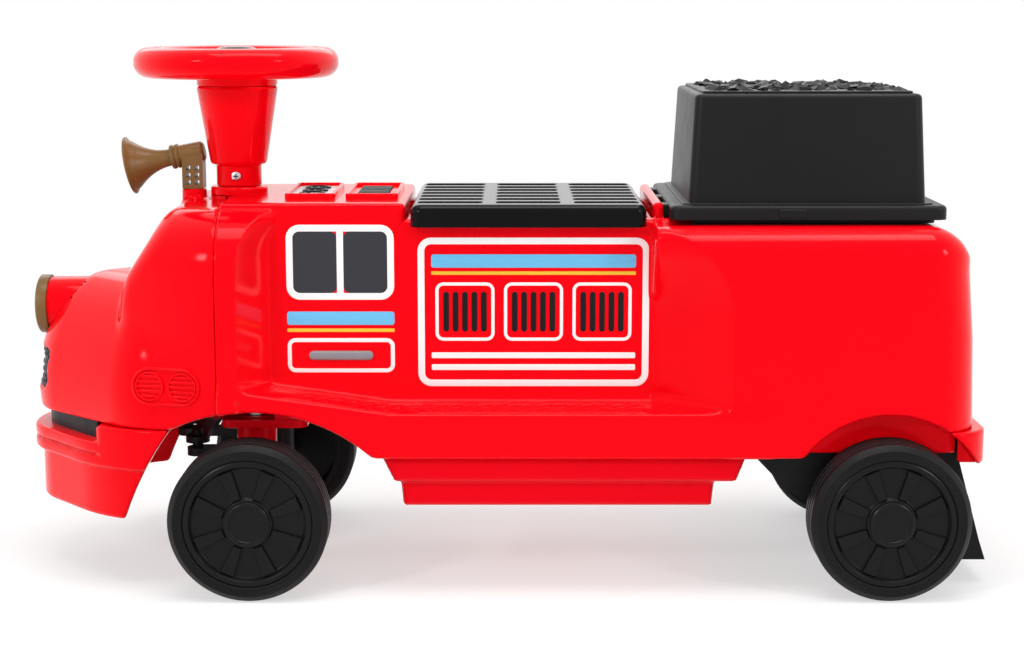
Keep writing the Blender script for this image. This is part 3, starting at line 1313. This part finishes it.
class TRAIN_OT_trim(bpy.types.Operator):
    """Windscreen, grille, side vents and the collar under the column."""

    bl_idname = "train.trim"
    bl_label = "Nose trim"

    def execute(self, context):
        self.windscreen()
        self.grille()
        for side, name in SIDE_NAMES.items():
            self.vent(side, name)
        bore, foot, flat = 6.2, ROOF_Z - 20, ROOF_Z + 6
        collar = [(bore, foot, 0), (17.8, foot, 0), (17.8, ROOF_Z - 0.2, 0), (22, ROOF_Z - 0.2, 0.4),
                  (22, ROOF_Z + 4.6, 1.2), (20.6, flat, 1), (bore, flat, 0), (bore, foot, 0)]
        add_shape("column_collar", lathe(collar, steps=4), "red", "column_bush_upper",
                  place=at(COLUMN[0], 0, 0))
        return {"FINISHED"}

    def windscreen(self):
        """Dark pane in a white rim, on the scuttle's sloping front."""
        size = math.hypot(*SCREEN_RUN)
        up = Vector((-SCREEN_RUN[0] / size, 0, -SCREEN_RUN[1] / size))
        out = Vector((up.z, 0, -up.x))
        middle = Vector((SCREEN_TOP[0] + SCREEN_RUN[0] / 2, 0, SCREEN_TOP[1] + SCREEN_RUN[1] / 2))
        place = Matrix(((0, up.x, out.x, middle.x), (1, 0, 0, 0), (0, up.z, out.z, middle.z), (0, 0, 0, 1)))
        half_w, half_h, rim_w, rim_lap = 61.7, size / 2 - 4.3, 6, 0.2
        rim = rim_slab(half_w, half_h, 9, rim_w, -5, 1.6, 1.0)
        add_shape("screen_rim", rim, "white", "windscreen_frame", place=place)
        inset = rim_w - rim_lap
        pane = slab(half_w - inset, half_h - inset, 4, -3, 0.2, 0.5)
        add_shape("screen_pane", pane, "pane", "windscreen", place=place)

    def grille(self):
        """Slats in a frame, curved to lie evenly behind the round front."""
        place = at(0, 0, GRILLE_Z) @ FRONT_FRAME
        front = NOSE_HIGH[0]
        back = slab(33.5, 13.5, 5, front - 12, front - 9, 0.5)
        border = rim_slab(34.6, 14.6, 5.6, 3, front - 12, front - 1.2, 1.0)
        count, pitch = 4, 5.88
        slat = placed(slab(32.4, 1.25, 0.8, front - 10, front - 2.4, 0.8), at(0, -pitch * (count - 1) / 2, 0))
        slats = moved(repeated("grille_slats", slat, "satin", count, step=(0, pitch, 0)), place)
        frame_mesh = shape_mesh("grille_frame", placed(together(back, border), place))
        mesh = merged("grille", frame_mesh, slats)
        self.curve(mesh)
        add_piece("grille_moulding", mesh, "satin", "radiator_grille")

    def curve(self, mesh):
        """Cuts long faces across and sets them back as the front falls away."""
        r = sizes().bonnet_r / MM
        work = bmesh.new()
        work.from_mesh(mesh)
        for k in range(-5, 6):
            everything = work.verts[:] + work.edges[:] + work.faces[:]
            bmesh.ops.bisect_plane(work, geom=everything, plane_co=(0, 6 * k * MM, 0), plane_no=(0, 1, 0))
        for vert in work.verts:
            y, z = vert.co.y / MM, vert.co.z / MM
            lift = (z - BONNET_Z + BONNET_H) / BONNET_H
            vert.co.x += (math.sqrt(r ** 2 * (1 - lift ** 2) - y ** 2) - r) * MM
        work.to_mesh(mesh)
        work.free()

    def vent(self, side, name):
        """Two round slatted vents in a raised pill, laid on the flank."""
        parts = [rim_slab(26, 14.2, 14.2, 2.2, -1, 2.2, 0.9)]
        ring = lathe([(11, -1, 0), (11, 2, 0.6), (9.4, 2, 0.6), (9.4, -1, 0), (11, -1, 0)], 48, 3)
        apart, slat_reach, slat_pitch = 12.4, 9.6, 3.6
        for s in SIDES:
            parts.append(placed(ring, at(s * apart, 0, 0)))
            for k in range(-2, 3):
                half = math.sqrt(slat_reach ** 2 - (slat_pitch * k) ** 2)
                parts.append(placed(slab(half, 1.0, 0.5, -1, 1.7, 0.6), at(s * apart, slat_pitch * k, 0)))
        mesh = shape_mesh("vent_" + name, placed(together(*parts), on_side(side, VENT_X, 0, VENT_Z)))
        points = np.array([v.co for v in mesh.vertices]) / MM
        near, far = np.full(len(points), 60.0), np.full(len(points), HALF_NOSE + 8)
        for _ in range(24):
            middle = (near + far) / 2
            inside = nose_outside(points[:, 0], middle, points[:, 2]) < 0
            near, far = np.where(inside, middle, near), np.where(inside, far, middle)
        for vert, y in zip(mesh.vertices, near):
            vert.co.y += side * y * MM
        replaced = ("side_vents",) if side > 0 else ()
        add_piece("nose_vent_" + name, mesh, "red", *replaced)


class TRAIN_OT_dash(bpy.types.Operator):
    """Two panels on the cab roof: dials in front, push bars behind."""

    bl_idname = "train.dash"
    bl_label = "Dash panels"

    def execute(self, context):
        place, half_l, half_w, rim = self.tray("dash_panel_front")
        add_shape("dash_tray", rim, "red", "dash_panel_front", place=place)
        inlay = slab(half_l - 2.8, half_w - 2.8, 3, -0.5, 1.4, 0.3)
        add_shape("dash_inlay", inlay, "light", place=place)
        self.dials(place)
        place, half_l, half_w, rim = self.tray("dash_panel_rear")
        tray = together(rim, slab(half_l - 2, half_w - 2, 3, -0.5, 1.4, 0.3))
        add_shape("push_tray", tray, "red", "dash_panel_rear", place=place)
        count, pitch = 5, 12
        bar_place = at(place.translation.x, -pitch * (count - 1) / 2, ROOF_Z)
        bar = placed(slab(12, 3.2, 1.5, 1, 3, 0.9), bar_place)
        add_piece("push_bars", repeated("push_bars", bar, "satin", count, step=(0, pitch, 0)), "satin")
        return {"FINISHED"}

    def tray(self, node):
        """Place, half sizes and raised rim of a panel."""
        low, high = node_mm(node)
        half_l, half_w = (high[0] - low[0]) / 2, high[1]
        rim = rim_slab(half_l, half_w, 5, 3, -0.5, 4, 1.2)
        return at((low[0] + high[0]) / 2, 0, ROOF_Z), half_l, half_w, rim

    def dials(self, place):
        """Three dials with plain ticks and a pointer."""
        ring = lathe([(10, 1, 0), (10, 2.9, 0.5), (8.6, 3, 0.5), (8.2, 1.8, 0), (10, 1, 0)], 48, 3)
        face = slab(8.3, 8.3, 8.3, 1, 1.9, 0.1)
        pointer = slab(0.5, 3.2, 0.4, 1.8, 2.3, 0.2)
        tick = slab(0.32, 1.0, 0.2, 1.8, 2.1, 0.1)
        rings, faces, marks = [], [], []
        for y in (-24, 0, 24):
            spot = at(0, y, 0)
            rings.append(placed(ring, spot))
            faces.append(placed(face, spot))
            marks.append(placed(pointer, spot @ turned(0.5 + y / 20, "Z") @ at(0, 2, 0)))
            for k in range(9):
                marks.append(placed(tick, spot @ turned(math.radians(30 * k - 120), "Z") @ at(0, 6.6, 0)))
        add_shape("dash_rings", together(*rings), "rim", place=place, slot="black_gloss")
        add_shape("dash_faces", together(*faces), "pane", place=place)
        add_shape("dash_marks", together(*marks), "white", place=place)


# Plain panels on the cab sides, a third of a millimetre proud

PANEL_X = -25.0
PANEL_Z = 206.5
PANEL_IN = 76.0
WINDOW_X = 118.5
WINDOW_Z = 244.0
WINDOW_HALF = 40.0
BAR_Z = 174.0
LOUVRE_Z = 207.0
LOUVRE_PITCH = 51.0
PROUD = 0.35
SUNK = -0.4


def plate(half_u, half_v, r):
    """Flat panel."""
    return slab(half_u, half_v, r, SUNK, PROUD, 0.2)


def border(half_u, half_v, r, width, top=PROUD):
    """Flat frame."""
    return rim_slab(half_u, half_v, r, width, SUNK, top, 0.2)


class TRAIN_OT_livery(bpy.types.Operator):
    """Plain panels, windows and louvres on both sides, and the tread on the running boards."""

    bl_idname = "train.livery"
    bl_label = "Side panels"

    def execute(self, context):
        for side, name in SIDE_NAMES.items():
            self.panels(side, name)
            self.treads(side, name)
        return {"FINISHED"}

    def panels(self, side, name):
        """Borders, bands, window panes, louvres and a grab bar on one side."""
        half_cab = sizes().cab_half / MM

        def spot(shape, x, z):
            return placed(shape, on_side(side, x, half_cab, z))

        louvre_x = [PANEL_X + LOUVRE_PITCH * k for k in (-1, 0, 1)]
        white = [
            spot(border(86, 56, 10, 5), PANEL_X, PANEL_Z),
            spot(border(WINDOW_HALF, 28, 10, 5, 0.5), WINDOW_X, WINDOW_Z),
            spot(plate(2.5, 26, 0.5), WINDOW_X, WINDOW_Z),
            spot(border(WINDOW_HALF, 13, 6, 3), WINDOW_X, BAR_Z),
            spot(plate(PANEL_IN, 2.2, 1), PANEL_X, BAR_Z),
            spot(plate(PANEL_IN, 2.2, 1), PANEL_X, 165),
        ]
        white += [spot(border(22, 22, 6, 2.4), x, LOUVRE_Z) for x in louvre_x]
        dark = [spot(slab(16.3, 23, 5, SUNK, 0.3, 0.2), WINDOW_X + s * 18.8, WINDOW_Z) for s in SIDES]
        blue = [spot(plate(PANEL_IN, 5, 2), PANEL_X, 245), spot(plate(WINDOW_HALF, 5, 2), WINDOW_X, 202)]
        yellow = [spot(plate(PANEL_IN, 1.3, 0.6), PANEL_X, 236),
                  spot(plate(WINDOW_HALF, 1.3, 0.6), WINDOW_X, 193)]
        for label, key, shapes in (("white", "white", white), ("dark", "pane", dark), ("blue", "blue", blue),
                                   ("yellow", "yellow", yellow)):
            add_shape(f"panel_{label}_{name}", together(*shapes), key)
        count, pitch = 5, 7
        groups = []
        for x in louvre_x:
            louvre = spot(slab(2.1, 15, 2.1, SUNK, 0.6, 0.3), x + pitch * (count - 1) / 2, LOUVRE_Z)
            groups.append(repeated("louvres", louvre, "satin", count, step=(-pitch, 0, 0)))
        add_piece("louvres_" + name, merged("louvres_" + name, *groups), "satin")
        add_shape("grab_bar_" + name, spot(slab(24, 3.4, 3.4, SUNK, 2.6, 1.6), WINDOW_X, BAR_Z), "grey")

    def treads(self, side, name):
        """Chevrons along a running board."""
        first_x, count, pitch, angle = -98, 23, 11, 38
        rows = []
        for y, lean in ((94, 1), (107, -1)):
            bar = placed(slab(8.2, 1.1, 0.8, -0.3, 0.7, 0.5), turned(math.radians(angle * lean * side), "Z"))
            first = placed(bar, at(first_x, side * y, 0))
            rows.append(repeated("tread_row", first, "red", count, step=(pitch, 0, 0)))
        mesh = merged("board_tread_" + name, *rows)
        for vert in mesh.vertices:
            vert.co.z += float(board_top(vert.co.x / MM)) * MM
        add_piece("board_tread_" + name, mesh, "red")


def tail_field(x, y, z):
    """Bar that wraps the tail, with its ends cut round over the wheels."""
    plan = tail_plan(x, y)
    middle, half = (TAIL_LOW[2] + TAIL_HIGH[2]) / 2, (TAIL_HIGH[2] - TAIL_LOW[2]) / 2
    form = bend(bend(plan, -TAIL_BAR_W - plan, 2), np.abs(z - middle) - half, 2.5)
    form = bend(form, x - TAIL_HIGH[0], 2)
    return cut(form, rear_well(x, y, z), 2)


class TRAIN_OT_tail(bpy.types.Operator):
    """Bar across the tail, above the anti-tip leg."""

    bl_idname = "train.tail"
    bl_label = "Tail bar"

    def execute(self, context):
        add_mould("tail_bar", tail_field, "tail_bumper", "red", sizes().fine_cell / MM)
        return {"FINISHED"}


class TRAIN_OT_metalwork(bpy.types.Operator):
    """Finishes on the pieces that are shown as they are in the frame."""

    bl_idname = "train.metalwork"
    bl_label = "Chassis finishes"

    def execute(self, context):
        shown = {
            "steel": ("rear_axle", "chassis_screws", "kingpin_cap_left", "kingpin_cap_right",
                      "seat_hinge_pins"),
            "dark_metal": ("column_rod",),
            "satin": ("rear_subframe", "anti_tip_leg", "knuckle_left", "knuckle_right", "seat_bin",
                      "kingpin_bushes", "column_bush_lower", "bumper_strip", "tie_rod"),
            "chassis": ("front_beam",),
            "grey": ("sound_module",),
            "bronze": ("horn_stand",),
        }
        for key, nodes in shown.items():
            for node in nodes:
                mesh = frame["nodes"][node].data
                mesh.materials.clear()
                mesh.materials.append(finish(key))
        return {"FINISHED"}


# The stage, in metres and watts: each lamp has a place, an aim, a size and a power

CAMERA_X = -0.009
CAMERA_LENS = 67.9
FLOOR_REACH = 12.0
SURROUND_LIGHT = 0.62
LAMPS = {
    "top_box": ((-0.1, 0.35, 2.0), (0, 0, 0.2), (1.6, 0.7), 26),
    "front_box": ((1.5, 1.7, 1.2), (0.1, 0, 0.2), (0.3, 0.4), 16),
    "rear_box": ((-1.7, 1.3, 1.1), (-0.2, 0, 0.2), (0.3, 0.5), 11),
    "back_box": ((0.2, -1.9, 1.5), (0, 0, 0.2), (2.2, 1.2), 12),
}


class TRAIN_OT_stage(bpy.types.Operator):
    """Camera, pale floor, white surround and soft lights."""

    bl_idname = "train.stage"
    bl_label = "Stage"

    def execute(self, context):
        scene = context.scene
        s = sizes()
        camera = bpy.data.objects.new("camera", bpy.data.cameras.new("camera"))
        camera.location = (CAMERA_X, s.camera_reach, s.camera_height)
        camera.rotation_euler = (math.pi / 2 - s.camera_pitch, 0, math.pi)
        camera.data.lens = CAMERA_LENS
        camera.data.sensor_width = 36
        camera.data.clip_end = 50
        scene.collection.objects.link(camera)
        scene.camera = camera
        lamps = [self.lamp(scene, name, *settings) for name, settings in LAMPS.items()]
        self.floor(scene)
        self.surround(scene)
        scene.view_settings.view_transform = "Standard"
        return {"FINISHED"}

    def lamp(self, scene, name, place, aim, size, power):
        """Soft box that looks at a point."""
        data = bpy.data.lights.new(name, "AREA")
        data.shape = "RECTANGLE"
        data.size, data.size_y = size
        data.energy = power
        lamp = bpy.data.objects.new(name, data)
        lamp.location = place
        lamp.rotation_euler = (Vector(aim) - Vector(place)).to_track_quat("-Z", "Y").to_euler()
        scene.collection.objects.link(lamp)
        return lamp

    def floor(self, scene):
        """Wide sheet of paper."""
        mesh = bpy.data.meshes.new("floor")
        corners = ((-1, -1), (1, -1), (1, 1), (-1, 1))
        mesh.from_pydata([(u * FLOOR_REACH, v * FLOOR_REACH, 0) for u, v in corners], [], [(0, 1, 2, 3)])
        mesh.materials.append(self.paper())
        floor = bpy.data.objects.new("floor", mesh)
        scene.collection.objects.link(floor)
        return floor

    def seen(self, tree):
        """One where the ray comes from the camera, a mirror or glass, and nought for light."""
        path = tree.nodes.new("ShaderNodeLightPath")
        total = path.outputs["Is Camera Ray"]
        for key in ("Is Glossy Ray", "Is Transmission Ray"):
            add = tree.nodes.new("ShaderNodeMath")
            add.operation = "ADD"
            add.use_clamp = True
            tree.links.new(total, add.inputs[0])
            tree.links.new(path.outputs[key], add.inputs[1])
            total = add.outputs["Value"]
        return total

    def paper(self):
        """White paper: takes a soft shadow near the train and looks plain white further out."""
        mat = plastic("floor_paper", (0.9, 0.9, 0.9), 0.9, grain=200, mottle=0.004, shine=0.0)
        tree = mat.node_tree
        link = tree.links.new
        reach = tree.nodes.new("ShaderNodeVectorMath")
        reach.operation = "LENGTH"
        link(tree.nodes["Texture Coordinate"].outputs["Object"], reach.inputs[0])
        fade = tree.nodes.new("ShaderNodeMapRange")
        fade.interpolation_type = "SMOOTHSTEP"
        for key, value in (("From Min", 0.35), ("From Max", 1.0), ("To Min", 0.55), ("To Max", 1.0)):
            fade.inputs[key].default_value = value
        link(reach.outputs["Value"], fade.inputs["Value"])
        share = tree.nodes.new("ShaderNodeMath")
        share.operation = "MULTIPLY"
        link(self.seen(tree), share.inputs[0])
        link(fade.outputs["Result"], share.inputs[1])
        glow = tree.nodes.new("ShaderNodeEmission")
        mix = tree.nodes.new("ShaderNodeMixShader")
        link(share.outputs["Value"], mix.inputs["Fac"])
        link(tree.nodes["Principled BSDF"].outputs["BSDF"], mix.inputs[1])
        link(glow.outputs["Emission"], mix.inputs[2])
        link(mix.outputs["Shader"], tree.nodes["Material Output"].inputs["Surface"])
        return mat

    def surround(self, scene):
        """White to the camera, a softer white as light."""
        world = bpy.data.worlds.new("surround")
        scene.world = world
        world.use_nodes = True
        tree = world.node_tree
        light = tree.nodes["Background"]
        light.inputs["Color"].default_value = (1, 1, 1, 1)
        light.inputs["Strength"].default_value = SURROUND_LIGHT
        seen = tree.nodes.new("ShaderNodeBackground")
        seen.inputs["Color"].default_value = (1, 1, 1, 1)
        seen.inputs["Strength"].default_value = 1.0
        mix = tree.nodes.new("ShaderNodeMixShader")
        tree.links.new(self.seen(tree), mix.inputs["Fac"])
        tree.links.new(light.outputs["Background"], mix.inputs[1])
        tree.links.new(seen.outputs["Background"], mix.inputs[2])
        tree.links.new(mix.outputs["Shader"], tree.nodes["World Output"].inputs["Surface"])


STEPS = (TRAIN_OT_stage, TRAIN_OT_body, TRAIN_OT_nose, TRAIN_OT_bumper, TRAIN_OT_pan, TRAIN_OT_seat,
         TRAIN_OT_tender, TRAIN_OT_wheels, TRAIN_OT_steering, TRAIN_OT_horn, TRAIN_OT_headlamp, TRAIN_OT_trim,
         TRAIN_OT_dash, TRAIN_OT_livery, TRAIN_OT_tail, TRAIN_OT_metalwork)


class TRAIN_PT_panel(bpy.types.Panel):
    """Sizes, colours and steps of the train."""

    bl_idname = "TRAIN_PT_panel"
    bl_label = "Ride-on train"
    bl_space_type = "VIEW_3D"
    bl_region_type = "UI"
    bl_category = "Train"

    def draw(self, context):
        layout = self.layout
        for group in (context.scene.train_sizes, context.scene.train_colours):
            for key in group.bl_rna.properties.keys():
                if key not in ("rna_type", "name"):
                    layout.prop(group, key)
        for step in STEPS:
            layout.operator(step.bl_idname)


CLASSES = (TrainSizes, TrainColours, *STEPS, TRAIN_PT_panel)


def register():
    for cls in CLASSES:
        bpy.utils.register_class(cls)
    bpy.types.Scene.train_sizes = bpy.props.PointerProperty(type=TrainSizes)
    bpy.types.Scene.train_colours = bpy.props.PointerProperty(type=TrainColours)


def unregister():
    del bpy.types.Scene.train_colours
    del bpy.types.Scene.train_sizes
    for cls in reversed(CLASSES):
        bpy.utils.unregister_class(cls)


def main():
    register()
    for step in STEPS:
        getattr(bpy.ops.train, step.bl_idname.split(".")[1])()


if __name__ == "__main__":
    main()
